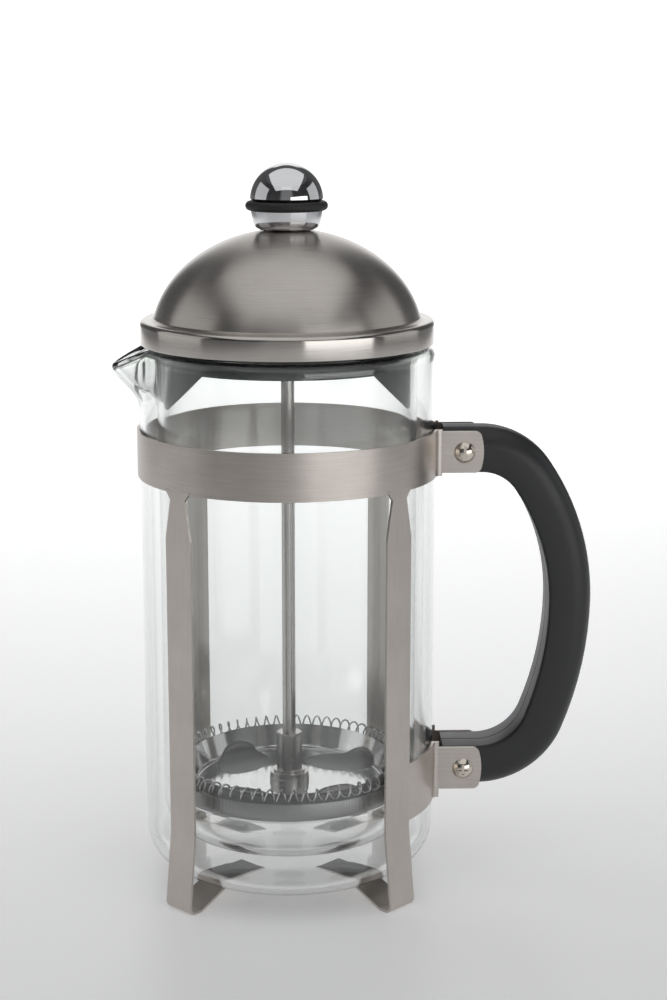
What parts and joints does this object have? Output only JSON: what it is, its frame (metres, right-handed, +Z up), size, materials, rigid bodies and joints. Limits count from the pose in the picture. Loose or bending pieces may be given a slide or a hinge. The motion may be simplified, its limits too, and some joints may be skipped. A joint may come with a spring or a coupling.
{
  "type": "french press",
  "caption": "Cylindrical coffee press: double-wall glass beaker in a steel strap frame with side handle, domed lid and a plunger with a sprung mesh filter.",
  "frame": {"origin": "centre of the beaker's axis at the level of the feet, where the press stands on a table", "axes": "+Z up along the beaker and the plunger, +X towards the handle, -X towards the spout"},
  "size_m": [0.18, 0.112, 0.2722],
  "materials": {
    "glass": "clear borosilicate, polished",
    "brushed_steel": "brushed along the strap",
    "handle_plastic": "fine moulded texture, satin",
    "polished_screw": "polished nickel",
    "spun_steel": "spun, with fine circular brushing",
    "strainer_plastic": "satin moulded",
    "clip_steel": "stamped",
    "knob_chrome": "mirror polish",
    "ring_rubber": "matt",
    "insert_brass": "turned",
    "rod_steel": "drawn, lightly polished",
    "plate_steel": "polished sheet",
    "spring_steel": "bright wire",
    "mesh_steel": "fine woven mesh"
  },
  "bodies": {
    "pot": {"glass_outer_wall": "glass", "glass_inner_wall": "glass", "frame": "brushed_steel", "handle_front_half": "handle_plastic", "handle_rear_half": "handle_plastic", "upper_screw": "polished_screw", "lower_screw": "polished_screw", "upper_barrel_nut": "polished_screw", "lower_barrel_nut": "polished_screw"},
    "bushing": {"lid_bushing": "strainer_plastic"},
    "clip": {"bushing_clip": "clip_steel"},
    "lid": {"lid_dome": "spun_steel", "lid_strainer": "strainer_plastic"},
    "plunger": {"knob": "knob_chrome", "knob_ring": "ring_rubber", "knob_insert": "insert_brass", "plunger_rod": "rod_steel", "rod_hub": "rod_steel", "hub_washer": "rod_steel", "spring_plate": "plate_steel", "edge_spring": "spring_steel", "mesh_screen": "mesh_steel", "cross_plate": "plate_steel", "filter_nut": "rod_steel"}
  },
  "joints": [
    {"name": "lid_lift", "type": "slide", "parent": "pot", "child": "bushing", "axis": [0, 0, 1], "range_m": [0, 0.2]},
    {"name": "lid_turn", "type": "hinge", "parent": "bushing", "child": "lid", "pos_m": [0, 0, 0.21], "axis": [0, 0, 1], "continuous": true},
    {"name": "plunger_turn", "type": "hinge", "parent": "bushing", "child": "clip", "pos_m": [0, 0, 0.249], "axis": [0, 0, 1], "continuous": true},
    {"name": "plunger_slide", "type": "slide", "parent": "clip", "child": "plunger", "axis": [0, 0, 1], "range_m": [0, 0.132]}
  ]
}
